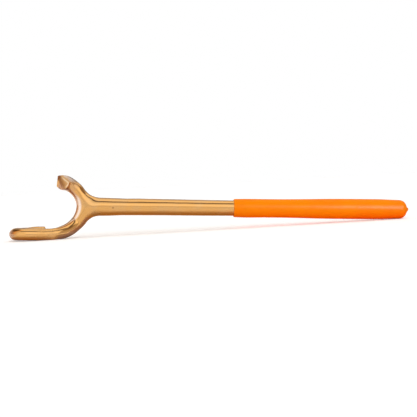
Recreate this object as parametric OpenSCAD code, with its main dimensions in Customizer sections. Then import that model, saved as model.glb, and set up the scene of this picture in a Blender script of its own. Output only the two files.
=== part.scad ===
// Fire hydrant wrench: one forged bronze bar with a forked jaw and a side hook, and a dipped
// plastic grip on its handle. Sizes are in millimetres. X runs along the shank to the handle,
// Z is up, the front is -Y, and the origin is on the shank's axis at the back of the throat.

/* [Overall] */
// Length from the outside of the hook to the end of the grip's nib
overall_len = 400; // [360:1:460]

/* [Throat] */
// Throat radius at its deepest point
throat_deep_r = 13.7; // [11:0.1:16]
// Throat radius along the lower arm
throat_low_r = 24; // [20:0.1:28]
// Throat radius along the upper jaw
throat_up_r = 20.4; // [17:0.1:24]
// Height of the deepest point above the shank's axis
throat_rise = 1; // [0:0.1:2.5]
// Angle below level at which the lower arm's radius takes over
throat_low_from = 10; // [0:1:25]
// Angle above level at which the upper jaw's radius takes over
throat_up_from = 28; // [15:1:33]

/* [Fork] */
// Radius of the fillet between the upper jaw and the shank
up_fillet_r = 20; // [14:0.5:26]
// Radius of the fillet between the lower arm and the shank
low_fillet_r = 16; // [12:0.5:24]
// Thickness of the fork from front to back
fork_thickness = 15.8; // [13:0.1:20]

/* [Upper jaw] */
// Diameter of the jaw's bar
jaw_d = 13.7; // [11:0.1:16]
// Angle round the throat at which the jaw starts to turn to the front
jaw_turn_from = 48; // [45:1:55]
// Radius of that turn at the middle of the bar
jaw_turn_r = 14; // [10:0.5:18]
// Angle of that turn
jaw_turn_angle = 58; // [40:1:70]
// Length from the end of the turn to the chisel edge
jaw_straight_len = 5.5; // [3:0.5:12]
// Lean of the chisel edge from upright
edge_lean = 26; // [0:1:40]
// Distance of the chisel edge to the handle side of the bar's middle
edge_offset = 0; // [-2:0.1:3]
// Slope of the wide ground face
face_slope = 35; // [10:1:45]
// Slope of the narrow ground face
back_slope = 10; // [5:1:45]
// Distance from the bar's middle to the trimmed side of the tip
tip_trim = 3.4; // [2:0.1:7]
// Lean of that side from upright
trim_lean = 6; // [0:1:15]

/* [Lower arm and hook] */
// Diameter of the lower arm at the fork
arm_root_d = 14.3; // [12:0.1:16]
// Diameter of the hook
hook_d = 11.9; // [10:0.1:14]
// Distance from the throat to the outside of the hook
hook_reach = 65.4; // [62:0.1:80]
// Radius of the hook's turn at the middle of the bar
hook_turn_r = 18; // [14:0.5:20]
// Length of the hook's free end past the turn
hook_tail_len = 8.3; // [3:0.1:16]
// Length of the crank that carries the arm to the front
crank_len = 28; // [26:1:34]
// Rounding of the edge of the hook's free end
hook_end_round = 1.2; // [0.4:0.1:3]

/* [Shank] */
// Diameter where the fork's fillets end
shank_fork_d = 18.2; // [16:0.1:20]
// Diameter at the end of the flare
shank_neck_d = 16.9; // [14:0.1:18]
// Diameter under the grip
shank_grip_d = 15.5; // [13:0.1:17]
// Length of the flare behind the fork
shank_flare_len = 26; // [14:1:40]
// Chamfer of the shank's end inside the grip
shank_end_chamfer = 2; // [0.5:0.1:4]

/* [Grip] */
// Length of the grip from its mouth to the end of its nib
grip_len = 178; // [150:1:200]
// Diameter at the mouth
grip_mouth_d = 18.4; // [18:0.1:22]
// Diameter of the swelling behind the mouth
grip_lip_d = 18.9; // [18:0.1:22]
// Distance of the swelling from the mouth
grip_lip_at = 11; // [6:0.5:18]
// Diameter of the waist
grip_waist_d = 18.5; // [18:0.1:22]
// Distance of the waist from the mouth
grip_waist_at = 35; // [25:1:50]
// Diameter of the straight palm stretch
grip_palm_d = 20.4; // [19:0.1:24]
// Distance of the palm stretch from the mouth
grip_palm_at = 113; // [80:1:118]
// Length of the palm stretch
grip_palm_len = 29; // [20:1:35]
// Diameter at the heel, before the end rounds off
grip_heel_d = 19.2; // [18:0.1:22]
// Radius of the rounded end
grip_end_r = 7.5; // [4:0.1:8.5]
// Thickness of the closed end
grip_end_wall = 4.5; // [2:0.1:8]
// Diameter of the drip nib
nib_d = 4.6; // [2:0.1:8]
// Height of the drip nib
nib_h = 2.3; // [0.5:0.1:3]
// Radius of the mouth's outer edge
grip_mouth_round = 0.5; // [0.2:0.1:1]
// Stretch clearance between the grip and the shank, on the radius
grip_clearance = 0; // [0:0.05:0.3]

/* [Hidden] */

bronze = "#d8a660";
orange = "#ff8a14";

// Points on half of a ring round the bar, from its front to its back
half_ring = 16;
// Spacing of the rings along the lower arm
ring_step = 2;
// Rings along a turn, a blend, a flare, a long outline and a small rounding
turn_steps = 8;
blend_steps = 6;
flare_steps = 5;
profile_steps = 12;
round_steps = 4;
// Sides of the turned shapes
turned_sides = 96;
// How far the round shank stands proud of the fork's facets where they join
join_step = 0.05;

front = [0, -1, 0];

function unit(v) = v / norm(v);
// Direction in the fork's plane, at an angle above the shank's axis
function level(angle) = [cos(angle), 0, sin(angle)];
// The same direction turned a quarter, clockwise as seen from the front
function quarter(d) = [d.z, 0, -d.x];
function ease(t) = (1 - cos(180 * min(t, 1))) / 2;
function arc_angle(length, r) = length / r * 180 / PI;

// Throat: three arcs that run into each other without a corner
deep_c = [-throat_deep_r, 0, throat_rise];
low_c = deep_c + (throat_deep_r - throat_low_r) * level(-throat_low_from);
up_c = deep_c + (throat_deep_r - throat_up_r) * level(throat_up_from);

// Fillets: each touches the outside of its arm and the line of the shank
function fillet_c(arm_c, arm_out_r, r, turn) =
    let (z = shank_fork_d / 2 + r)
    [arm_c.x + sqrt(pow(arm_out_r + r, 2) - pow(z - turn * arm_c.z, 2)), 0, turn * z];
up_fillet_c = fillet_c(up_c, throat_up_r + jaw_d, up_fillet_r, 1);
low_fillet_c = fillet_c(low_c, throat_low_r + arm_root_d, low_fillet_r, -1);
up_from = atan2(up_fillet_c.z - up_c.z, up_fillet_c.x - up_c.x);
low_from = atan2(low_c.z - low_fillet_c.z, low_fillet_c.x - low_c.x);
fork_end_x = max(up_fillet_c.x, low_fillet_c.x);

// The middle of the fork, and the three arcs whose outlines face it
hub = [fork_end_x / 2, 0, 0];
THROAT = [deep_c, throat_deep_r];
TOP = [up_fillet_c, up_fillet_r];
BOTTOM = [low_fillet_c, low_fillet_r];

// Along the shank
flare_end_x = fork_end_x + shank_flare_len;
nib_end_x = overall_len - hook_reach;
grip_end_x = nib_end_x - nib_h;
mouth_x = nib_end_x - grip_len;
shank_end_x = grip_end_x - grip_end_wall;

// A seam of the fork: half a loop from the front of the hub, over the outline that faces
// the given arc, to the back of the hub
function reach(arc) = norm(arc[0] - hub) - arc[1];
function seam(arc) =
    let (d = unit(arc[0] - hub))
    [for (k = [0 : half_ring])
        let (a = 180 * k / half_ring)
        hub + reach(arc) * sin(a) * d + fork_thickness / 2 * cos(a) * front];

// The way in which the surface crosses a seam into a branch: square to the seam on the
// outline, and straight along the branch at the front and the back of the hub
function crossing(arc, turn, branch) =
    let (
        d = unit(arc[0] - hub),
        e = turn * quarter(d),
        lean = (branch * d) / (branch * e)
    )
    [for (k = [0 : half_ring])
        let (a = 180 * k / half_ring)
        unit(e + lean * cos(a) * (cos(a) * d - fork_thickness / 2 / reach(arc) * sin(a) * front))];

// Two halves from front to back make one closed ring
function closed(first, second) = concat(first, [for (k = [half_ring - 1 : -1 : 1]) second[k]]);

// Ring round the bar at p, starting at its front and going over the given side
function bar_ring(p, way, side, r) =
    [for (j = [0 : 2 * half_ring - 1])
        let (a = 180 * j / half_ring)
        p + r * (sin(a) * side + cos(a) * cross(way, side))];

// Smooth curve from p to q that leaves and arrives along the given directions
function flow(p, leaving, q, arriving, t) =
    let (h = norm(q - p))
    (2 * pow(t, 3) - 3 * pow(t, 2) + 1) * p + (pow(t, 3) - 2 * pow(t, 2) + t) * h * leaving
    + (3 * pow(t, 2) - 2 * pow(t, 3)) * q + (pow(t, 3) - pow(t, 2)) * h * arriving;

// Rings that lead from the hub's two seams to the first round ring of a branch
function branch_rings(first_arc, second_arc, p, way, side, r) =
    let (
        start = closed(seam(first_arc), seam(second_arc)),
        branch = unit([p.x - hub.x, 0, p.z - hub.z]),
        leaving = closed(crossing(first_arc, 1, branch), crossing(second_arc, -1, branch)),
        end = bar_ring(p, way, side, r)
    )
    [for (i = [1 : blend_steps])
        [for (j = [0 : 2 * half_ring - 1]) flow(start[j], leaving[j], end[j], way, i / blend_steps)]];

// Directions along a path of points, and the side of the bar carried along it without twist
function ways(path, first) =
    [for (i = [0 : len(path) - 1])
        i == 0 ? first : unit(path[min(i + 1, len(path) - 1)] - path[i - 1])];
function carried(side, way) = unit(side - (side * way) * way);
function sides(w, first) =
    [for (i = 0, s = first; i < len(w); i = i + 1, s = carried(s, w[min(i, len(w) - 1)])) s];
function swept(path, w, first_side, radii) =
    let (s = sides(w, first_side))
    [for (i = [1 : len(path) - 1]) bar_ring(path[i], w[i], s[i], radii[i])];

// Upper jaw: round the throat, then out to the front
up_mid_r = throat_up_r + jaw_d / 2;
up_way = -quarter(level(up_from));
function jaw_point(angle, out) = up_c + up_mid_r * level(angle) + out * front;
jaw_turn_to = jaw_turn_from + arc_angle(jaw_turn_r * sin(jaw_turn_angle), up_mid_r);
jaw_way = cos(jaw_turn_angle) * -quarter(level(jaw_turn_to)) + sin(jaw_turn_angle) * front;
jaw_turn_end = jaw_point(jaw_turn_to, jaw_turn_r * (1 - cos(jaw_turn_angle)));
edge_point = jaw_turn_end + jaw_straight_len * jaw_way;
jaw_path = concat(
    [for (i = [0 : round_steps]) jaw_point(up_from + i / round_steps * (jaw_turn_from - up_from), 0)],
    [for (i = [1 : turn_steps])
        let (b = jaw_turn_angle * i / turn_steps)
        jaw_point(jaw_turn_from + arc_angle(jaw_turn_r * sin(b), up_mid_r), jaw_turn_r * (1 - cos(b)))],
    [edge_point + jaw_d * jaw_way]
);

// Lower arm: round the throat while it cranks to the front, then round the hook's turn
low_mid_r = throat_low_r + hook_d / 2;
low_way = quarter(level(-low_from));
low_arc_len = low_mid_r * (90 - low_from) * PI / 180;
low_bottom = low_c - low_mid_r * [0, 0, 1];
hook_c = [hook_turn_r + hook_d / 2 - hook_reach, 0, low_bottom.z];
near_leg_end = low_arc_len + low_c.x - hook_c.x;
near_leg_rings = ceil(near_leg_end / ring_step);
near_leg_stations = [for (i = [0 : near_leg_rings]) near_leg_end * i / near_leg_rings];
function arm_r(s) = hook_d / 2 + (arm_root_d - hook_d) / 2 * pow(1 - min(s / crank_len, 1), 2);
function arm_point(s) =
    let (
        angle = -low_from - arc_angle(min(s, low_arc_len), low_mid_r),
        past = max(s - low_arc_len, 0)
    )
    low_c + (throat_low_r + arm_r(s)) * level(angle) - past * [1, 0, 0]
    + hook_turn_r * ease(s / crank_len) * front;
function hook_point(a) = hook_c + hook_turn_r * (cos(a) * front - sin(a) * [1, 0, 0]);
function tail_point(s) = hook_c - hook_turn_r * front + s * [1, 0, 0];
tail_round = [for (i = [0 : round_steps]) 90 * i / round_steps];
tail_flat_len = hook_tail_len - hook_end_round;
hook_path = concat(
    [for (s = near_leg_stations) arm_point(s)],
    [for (i = [1 : 2 * turn_steps]) hook_point(90 * i / turn_steps)],
    [for (a = tail_round) tail_point(tail_flat_len + hook_end_round * sin(a))]
);
hook_radii = concat(
    [for (s = near_leg_stations) arm_r(s)],
    [for (i = [1 : 2 * turn_steps]) hook_d / 2],
    [for (a = tail_round) hook_d / 2 - hook_end_round * (1 - cos(a))]
);

up_rings = concat(
    branch_rings(THROAT, TOP, jaw_path[0], up_way, -level(up_from), jaw_d / 2),
    swept(jaw_path, ways(jaw_path, up_way), -level(up_from), [for (p = jaw_path) jaw_d / 2])
);
low_rings = concat(
    branch_rings(BOTTOM, THROAT, hook_path[0], low_way, level(-low_from), arm_root_d / 2),
    swept(hook_path, ways(hook_path, low_way), level(-low_from), hook_radii)
);
shank_rings = concat(
    branch_rings(TOP, BOTTOM, [fork_end_x, 0, 0], [1, 0, 0], [0, 0, 1], shank_fork_d / 2),
    [for (i = [1 : flare_steps])
        let (
            t = i / flare_steps,
            d = shank_fork_d + (shank_neck_d - 2 * join_step - shank_fork_d) * ease(t)
        )
        bar_ring([fork_end_x + t * shank_flare_len, 0, 0], [1, 0, 0], [0, 0, 1], d / 2)]
);

// Numbers of the seams' points, which the three branches share: the front of the hub is 0
// and its back is 1
function seam_ids(h) =
    concat([0], [for (k = [1 : half_ring - 1]) 1 + h * (half_ring - 1) + k], [1]);
first_free_id = 2 + 3 * (half_ring - 1);
function ring_ids(base, i) = [for (j = [0 : 2 * half_ring - 1]) base + 2 * half_ring * i + j];
function skin(a, b) =
    [for (j = [0 : 2 * half_ring - 1])
        let (k = (j + 1) % (2 * half_ring))
        each [[a[j], a[k], b[k]], [a[j], b[k], b[j]]]];
function branch_faces(start, base, count) =
    concat(
        skin(start, ring_ids(base, 0)),
        [for (i = [1 : count - 1]) each skin(ring_ids(base, i - 1), ring_ids(base, i))],
        [ring_ids(base, count - 1)]
    );

// The forked head as one skin: three round branches that flow together at the hub
module fork() {
    inner = function (s) [for (k = [1 : half_ring - 1]) s[k]];
    top = seam(TOP);
    up_base = first_free_id;
    low_base = up_base + 2 * half_ring * len(up_rings);
    shank_base = low_base + 2 * half_ring * len(low_rings);
    polyhedron(
        points = concat(
            [top[0], top[half_ring]],
            inner(seam(THROAT)), inner(top), inner(seam(BOTTOM)),
            [for (r = up_rings) each r],
            [for (r = low_rings) each r],
            [for (r = shank_rings) each r]
        ),
        faces = concat(
            branch_faces(closed(seam_ids(0), seam_ids(1)), up_base, len(up_rings)),
            branch_faces(closed(seam_ids(2), seam_ids(0)), low_base, len(low_rings)),
            branch_faces(closed(seam_ids(1), seam_ids(2)), shank_base, len(shank_rings))
        ),
        convexity = 6
    );
}

// What is ground away past a face through the chisel edge, sloping back to one side
module ground_off(slope) {
    size = 2 * (jaw_d + jaw_straight_len);
    right = carried([1, 0, 0], jaw_way);
    up = cross(jaw_way, right);
    frame = [for (i = [0 : 2]) [right[i], -jaw_way[i], up[i], edge_point[i]]];
    multmatrix(frame)
        rotate([0, -edge_lean, 0])
        translate([edge_offset, 0, 0])
        rotate([0, 0, slope])
        translate([-size / 2, -size, -size / 2])
        cube(size);
}

// What is trimmed off the side of the tip, square to the shank
module trimmed_off() {
    size = 2 * jaw_d;
    translate(edge_point)
        rotate([0, trim_lean, 0])
        translate([-tip_trim - size, -size / 2, -size / 2])
        cube(size);
}

// Round bar of the shank, from the end of the flare to its end inside the grip
module shank() {
    rotate([0, 90, 0])
        rotate_extrude($fn = turned_sides)
        polygon([
            [0, flare_end_x],
            [shank_neck_d / 2, flare_end_x],
            [shank_grip_d / 2, mouth_x],
            [shank_grip_d / 2, shank_end_x - shank_end_chamfer],
            [shank_grip_d / 2 - shank_end_chamfer, shank_end_x],
            [0, shank_end_x]
        ]);
}

module forged_body() {
    color(bronze) {
        difference() {
            fork();
            ground_off(face_slope);
            ground_off(-back_slope);
            trimmed_off();
        }
        shank();
    }
}

// Outline between two diameters, level at both ends
function swell(from_x, from_d, to_x, to_d) =
    [for (i = [1 : profile_steps])
        let (t = i / profile_steps)
        [(from_d + (to_d - from_d) * ease(t)) / 2, from_x + (to_x - from_x) * t]];
function end_round(c, r) =
    [for (i = [1 : profile_steps])
        let (a = 90 * i / profile_steps)
        c + r * [cos(a), sin(a)]];

// Dipped sleeve with a square mouth and a closed, rounded end
module handle_grip() {
    bore_r = shank_grip_d / 2 + grip_clearance;
    lip_x = mouth_x + grip_lip_at;
    waist_x = mouth_x + grip_waist_at;
    palm_x = mouth_x + grip_palm_at;
    palm_end_x = palm_x + grip_palm_len;
    heel_x = grip_end_x - grip_end_r;
    nib_r = nib_d / 2;
    color(orange)
        rotate([0, 90, 0])
        rotate_extrude($fn = turned_sides)
        polygon(concat(
            [[bore_r, mouth_x], [grip_mouth_d / 2 - grip_mouth_round, mouth_x]],
            [[grip_mouth_d / 2, mouth_x + grip_mouth_round]],
            swell(mouth_x + grip_mouth_round, grip_mouth_d, lip_x, grip_lip_d),
            swell(lip_x, grip_lip_d, waist_x, grip_waist_d),
            swell(waist_x, grip_waist_d, palm_x, grip_palm_d),
            [[grip_palm_d / 2, palm_end_x]],
            swell(palm_end_x, grip_palm_d, heel_x, grip_heel_d),
            [for (p = end_round([grip_heel_d / 2 - grip_end_r, heel_x], grip_end_r)) if (p.x > nib_r) p],
            [for (i = [0 : round_steps])
                let (a = 90 * i / round_steps)
                [nib_r * cos(a), grip_end_x + nib_h * sin(a)]],
            [[0, shank_end_x], [bore_r - shank_end_chamfer, shank_end_x]],
            [[bore_r, shank_end_x - shank_end_chamfer]]
        ));
}

forged_body();
handle_grip();
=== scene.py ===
"""Fire hydrant wrench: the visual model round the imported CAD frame, as an add-on run as a script."""

import math

import bmesh
import bpy
from bpy.props import FloatProperty, FloatVectorProperty, IntProperty, PointerProperty
from mathutils import Matrix, Vector


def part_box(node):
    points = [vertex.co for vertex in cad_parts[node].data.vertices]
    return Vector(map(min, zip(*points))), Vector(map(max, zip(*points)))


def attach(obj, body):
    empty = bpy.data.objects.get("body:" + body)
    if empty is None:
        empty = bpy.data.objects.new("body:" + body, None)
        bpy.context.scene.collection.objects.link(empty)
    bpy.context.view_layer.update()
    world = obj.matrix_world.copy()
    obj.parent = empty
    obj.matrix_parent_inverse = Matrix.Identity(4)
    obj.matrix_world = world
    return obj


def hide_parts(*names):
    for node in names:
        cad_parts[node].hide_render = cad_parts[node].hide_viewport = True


bl_info = {
    "name": "Fire Hydrant Wrench",
    "version": (1, 0, 0),
    "blender": (4, 5, 0),
    "location": "View3D > Sidebar > Wrench",
    "description": "Builds a forged bronze hydrant wrench with a dipped plastic grip",
    "category": "Object",
}

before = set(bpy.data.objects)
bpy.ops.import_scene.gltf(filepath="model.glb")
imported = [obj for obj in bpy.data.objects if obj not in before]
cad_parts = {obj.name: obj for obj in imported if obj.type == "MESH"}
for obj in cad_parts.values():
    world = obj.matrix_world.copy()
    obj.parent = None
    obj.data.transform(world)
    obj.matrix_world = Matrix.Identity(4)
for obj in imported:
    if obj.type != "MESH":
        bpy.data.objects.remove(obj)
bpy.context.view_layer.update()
BODY_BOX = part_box("forged_body")
GRIP_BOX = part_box("handle_grip")

MM = 0.001


def mm(x, y, z):
    """A place or a move that is given in millimetres."""
    return Vector((x, y, z)) * MM


# Points closer than this are one point, and a cut takes points this close to lie on it
SAME_POINT = 0.001 * MM
# How far before a cut the faces to take off begin
CUT_MARGIN = 0.1 * MM

# The jaw's tip, as in the CAD source: the middle of the chisel edge, the way the bar runs there,
# the ring of the bar behind everything that is ground away, and the space that the tip takes up
CHISEL_MIDDLE = mm(-14.419, -11.245, 24.763)
TIP_WAY = Vector((-0.50667, -0.84805, 0.15526))
TIP_RIGHT = Vector((0.86214, -0.49838, 0.09124))
TIP_UP = Vector((0.0, 0.18008, 0.98365))
TIP_RING = mm(-10.652, -5.142, 23.588)
TIP_RING_WAY = Vector((-0.59673, -0.77448, 0.20999))
TIP_REACH = 24 * MM
TIP_LOWEST = 10 * MM
# The spare length that grows from that ring before the tip is ground, and how it droops and narrows
TIP_SPARE = 20 * MM
TIP_STEPS = 5
TIP_DROOP = 0.07
TIP_NARROWING = 0.985
# The ground shoulder above the wide face: a point of it and its outward normal
TIP_SHOULDER = mm(-10.5, -10.85, 27.2)
TIP_SHOULDER_WAY = Vector((0.525, -0.469, 0.710))
# The grinding wheel that hollows the wide face
WHEEL_SIDES = 256
WHEEL_WIDTH = 80 * MM

# The shank: where the fork's skin ends, its outline from there to the end inside the grip, and its bow
FLARE_END_X = 50.549 * MM
SHANK_STEPS = 14
SHANK_RING_R = 8.40 * MM
SHANK_NECK_R = 8.45 * MM
SHANK_GRIP_R = 7.75 * MM
SHANK_CHAMFER = 2 * MM
SHANK_BOW_X = 55 * MM
SHANK_BOW_HALF = 6 * MM
SHANK_BOW_REACH = 95 * MM

# The fork's middle, and how far round it the skin is smoothed
HUB = mm(12.27, 0.0, 0.0)
HUB_REACH = 15 * MM
HUB_SMOOTHING = 8

# The hook's free end: its middle, and the edge loops that keep its flat face firm
HOOK_END = mm(-33.15, 18.0, -27.16)
HOOK_END_REACH = 6 * MM
HOOK_END_FACING = 0.95
HOOK_END_INSETS = (0.8 * MM, 2 * MM)
# The whole hook lies a little higher than the CAD's, and its outer end is a little fuller
HOOK_FROM_X = -17 * MM
HOOK_TOP = -18 * MM
HOOK_RAISE = (0, 0, 0.4 * MM)
HOOK_RAISE_REACH = 14 * MM
HOOK_OUTER_X = -62 * MM
HOOK_OUTER_STRETCH = (1, 1, 1.09)
HOOK_OUTER_REACH = 7 * MM
# Where the hand-forged bar departs from plain bends: place, how far round it, reach beyond that, move
HAND_WORK = (
    (mm(-9.0, -5.0, 30.0), 3 * MM, 8 * MM, mm(0.0, 0.0, 0.8)),
    (mm(11.0, -1.0, 14.5), 3 * MM, 7 * MM, mm(-0.15, 0.0, -0.3)),
    (mm(-4.0, -11.0, -27.5), 6 * MM, 6 * MM, mm(0.3, 0.0, -0.35)),
    (mm(-23.0, -20.0, -33.0), 5 * MM, 8 * MM, mm(0.0, 0.0, 0.6)),
    (mm(-33.2, 18.0, -27.2), 7 * MM, 16 * MM, mm(0.0, 0.0, 0.5)),
    (mm(-56.0, 13.0, -24.0), 6 * MM, 9 * MM, mm(0.0, 0.0, -0.65)),
    (mm(-64.0, 0.0, -26.0), 5 * MM, 12 * MM, mm(-0.5, 0.0, 0.0)),
    (mm(-61.0, -2.5, -21.2), 4 * MM, 7.5 * MM, mm(0.0, 0.0, -0.95)),
    (mm(-10.5, -9.5, 18.3), 2 * MM, 5 * MM, mm(0.0, 0.0, -0.85)),
)

# The widths of the forging's and the sleeve's waves, and the angles from which an edge stays sharp
FORGING_WAVE_WIDTH = 11 * MM
DIP_WAVE_WIDTH = 16 * MM
FORGING_SHARP = math.radians(28)
SLEEVE_SHARP = math.radians(40)
QUAD_ANGLE = math.radians(60)

# The sleeve's outline: places from its mouth with their radii, then its rounded end and its drip nib
SLEEVE_SIDES = 48
SLEEVE_LIP = ((0.0, 8.7 * MM), (0.12 * MM, 9.0 * MM))
SLEEVE_STOPS = (
    (0.5 * MM, 9.2 * MM),
    (11 * MM, 9.45 * MM),
    (35 * MM, 9.25 * MM),
    (113 * MM, 10.2 * MM),
    (142 * MM, 10.2 * MM),
)
SLEEVE_STEP = 6 * MM
SLEEVE_HEEL_R = 9.6 * MM
SLEEVE_END_R = 7.5 * MM
SLEEVE_END_TURNS = (15, 30, 45, 60, 74)
# How much wider than the shank the bore is at the mouth
SLEEVE_PLAY = 0.05 * MM
NIB_HEIGHT = 2.3 * MM
# The nib's rings: distance from its end, and radius
NIB_RINGS = ((2.0 * MM, 2.9 * MM), (1.4 * MM, 2.2 * MM), (0.6 * MM, 1.5 * MM), (0.1 * MM, 0.7 * MM))

# The throat's middle and radius, and the band of its front side where a pale reflection is painted
THROAT_MIDDLE = mm(-13.7, 0.0, 1.0)
THROAT_RADIUS = 13.7 * MM
SHEEN_DEPTH = 3.8 * MM
SHEEN_WIDTH = 2.7 * MM
SHEEN_CORE = 0.3 * MM
SHEEN_HEIGHT = 15.5 * MM
SHEEN_MIDDLE = -1.5 * MM

# The head's sides that turn from the front or face down, where a pinkish reflection is painted: the note
# on the mesh, how far turned they begin and are full, and how far they reach round the throat, along the
# lower arm and round the hook's bend
HEAD_SIDES = "head_sides"
SIDES_FROM = (0.2, 0.5)
THROAT_REACH = 24 * MM
THROAT_FADE = 6 * MM
THROAT_FOOT = -16 * MM
LOWER_ARM_TOP = -10 * MM
LOWER_ARM_REACH = 20 * MM
LOWER_ARM_FADE = 8 * MM
LOWER_ARM_SIDE = 1.2
LOWER_ARM_BELOW = 0.4
HOOK_BEND_X = -50 * MM
HOOK_BEND_TURN = 0.35

# Where the metal is dull or matte, and where a grey-white sheen is painted: place, and the radii of the
# full mark and its faded edge
DULL_PATCHES = (
    (mm(-4.5, -8.0, 21.5), 4.0 * MM, 10.5 * MM),
    (mm(0.0, -6.0, 22.5), 2.0 * MM, 6.5 * MM),
)
MATTE_PATCHES = (
    (mm(-26.0, -22.0, -27.0), 5.0 * MM, 18.0 * MM),
    (mm(-44.0, 18.0, -19.0), 5.0 * MM, 18.0 * MM),
)
SHEEN_PATCHES = (
    (mm(-4.0, -4.0, 30.0), 1.0 * MM, 10.5 * MM),
    (mm(-9.5, -5.5, 31.0), 0.5 * MM, 7.0 * MM),
    (mm(1.5, 0.0, 26.5), 0.0 * MM, 6.0 * MM),
)
SHANK_SPECK = (mm(36.7, -8.6, -0.5), 0.4 * MM, 1.1 * MM)
# The tip's upper corner, where a dark painted shade lies: place, and the radii of the full mark and its
# faded edge
SHADED_CORNER = (mm(-16.6, -10.8, 29.0), 1.0 * MM, 5.5 * MM)
GRIP_SCUFFS = (
    (mm(279.0, -10.0, 1.5), 0.8 * MM, 3.0 * MM),
    (mm(282.0, -8.9, -5.0), 0.6 * MM, 2.5 * MM),
)
# How ragged the edges of such marks are
PATCH_BREAK = 0.45
SPECK_BREAK = 0.3
CORNER_BREAK = 0.2
# The roughness of clean bronze and clean plastic, the roughest that the bronze gets, and how much
# coarser its grain is where it is matte
BRONZE_ROUGH = 0.09
GRIP_ROUGH = 0.29
MOST_ROUGH = 0.265
GRAIN = 15.0

# The hollow face: its middle, and from where to where its painted shade and painted rim highlight set
# in. They go by the distance from the chisel edge (REACH, ALONG), from the face's plane (SKIN) or middle
# (RADIUS), and by height (RISE).
FACE_MIDDLE = mm(-11.6, -10.9, 24.0)
FACE_REACH = (13 * MM, 10 * MM)
FACE_SKIN = (-1.1 * MM, -0.8 * MM)
SHADE_ALONG = (6 * MM, 0.5 * MM)
SHADE_RISE = (17 * MM, 24 * MM)
# The painted shade's share on the lower side
SHADE_BELOW = 0.5
RIM_ALONG = (1.5 * MM, 4.5 * MM)
RIM_RADIUS = (3.7 * MM, 4.5 * MM)
RIM_AT_SHOULDER = (-1.3 * MM, -0.6 * MM)

# The studio's brightness by the angle round the handle's axis, from the front horizon (0) over the
# top (90) to the horizon behind (180): long soft lamps with a dark gap between them
LAMP_LEVELS = (
    (-180, (1.0, 1.0, 1.0)),
    (14, (1.0, 1.0, 1.0)),
    (22, (1.5, 1.5, 1.5)),
    (37, (1.5, 1.5, 1.5)),
    (52, (1.1, 1.1, 1.1)),
    (60, (0.95, 0.95, 0.95)),
    (63, (0.12, 0.09, 0.06)),
    (72, (0.12, 0.09, 0.06)),
    (77, (1.1, 1.1, 1.1)),
    (84, (1.35, 1.35, 1.35)),
    (106, (1.35, 1.35, 1.35)),
    (116, (0.95, 0.95, 0.95)),
    (137, (0.95, 0.95, 0.95)),
    (142, (0.25, 0.2, 0.16)),
    (160, (0.25, 0.2, 0.16)),
    (165, (1.05, 1.05, 1.05)),
    (180, (1.05, 1.05, 1.05)),
)
# The brightest that the studio's colours can hold
STUDIO_MOST = 2.0
# The lamps' ends swing back: by how much to the right, by what share of it to the left (negative, as X
# is there), and from where to where along Y and Z this sets in
LAMP_SWING = math.radians(-20)
LEFT_SWING = -0.3
SWING_Y = (0.5, 0.2)
SWING_Z = (0.3, 0.7)
# The right wall's brightness by height, the left wall's by depth, and where along X they set in
RIGHT_WALL_LEVELS = (
    (-1.0, (0.65, 0.62, 0.6)),
    (0.1, (0.65, 0.6, 0.55)),
    (0.4, (0.72, 0.68, 0.62)),
    (0.52, (0.55, 0.47, 0.4)),
    (0.62, (0.36, 0.27, 0.2)),
    (1.0, (0.36, 0.27, 0.2)),
)
RIGHT_WALL_FROM = (0.6, 0.7)
LEFT_WALL_LEVELS = (
    (-1.0, (1.2, 1.2, 1.2)),
    (-0.5, (1.2, 1.2, 1.2)),
    (-0.35, (1.25, 1.25, 1.25)),
    (-0.1, (0.95, 0.9, 0.85)),
    (0.05, (1.0, 0.75, 0.45)),
    (0.2, (1.05, 0.62, 0.26)),
    (0.33, (0.6, 0.37, 0.22)),
    (0.5, (0.45, 0.4, 0.36)),
    (0.65, (0.7, 0.66, 0.63)),
    (0.8, (0.95, 0.92, 0.9)),
    (1.0, (1.0, 1.0, 1.0)),
)
LEFT_WALL_FROM = (-0.42, -0.62)
# In front and high up, the lamps run on over the left wall
OVER_WALL_Y = (-0.02, -0.14)
OVER_WALL_Z = (0.55, 0.68)
# A dark screen high on the left: its direction, and the cosines of its faded edge and full part
SCREEN_WAY = (-0.68, 0.42, 0.60)
SCREEN_EDGE = (0.945, 0.98)
SCREEN_LEVEL = (0.16, 0.11, 0.07)
# The plain white backdrop behind the wrench
BACKDROP_LEVEL = (1.0, 1.0, 1.0)
BACKDROP_FROM = (0.96, 0.98)

# The parts that the wrench rests on: the hook's near and far leg, and the grip's end
FEET = (
    lambda point: point.x < 0 and point.y < 0,
    lambda point: point.x < 0 and point.y > 0,
    lambda point: point.x > GRIP_BOX[0].x,
)
# The floor and the hidden sheet of painted shade on it, in metres: middle along Y, width, depth and rise
STAGE_MIDDLE_X = 0.13
FLOOR = (0, 12, 12, 0)
BOARD = (0.5, 2.4, 1.2, 0.3 * MM)
# How much the camera and the metal see the floor lifted towards white
FLOOR_LIFT = 0.26
# The painted shade's front edge and soft width beside the shank, and where along X it sets in
BOARD_FRONT = -17 * MM
BOARD_FADE = 20 * MM
BOARD_START = (-18 * MM, 4 * MM)
# Further patches of the painted shade, under the lower arm, left of the hook and under the hook: place,
# radius, soft width and share
ARM_FOOT = (mm(-5.0, -16.0, 0.0), 8 * MM, 12 * MM, 0.9)
LEFT_FOOT = (mm(-95.0, 5.0, 0.0), 15 * MM, 25 * MM, 0.45)
HOOK_FOOT = (mm(-41.0, 0.0, 0.0), 20 * MM, 20 * MM, 0.9)
# Where it turns to a painted orange bounce beside the grip, and grey under the hub
GRIP_TINT_FROM_X = (145 * MM, 175 * MM)
GRIP_TINT_TO_X = (420 * MM, 350 * MM)
GRIP_TINT_Y = (80 * MM, 35 * MM)
HUB_TINT_X = (30 * MM, 5 * MM)
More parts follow.
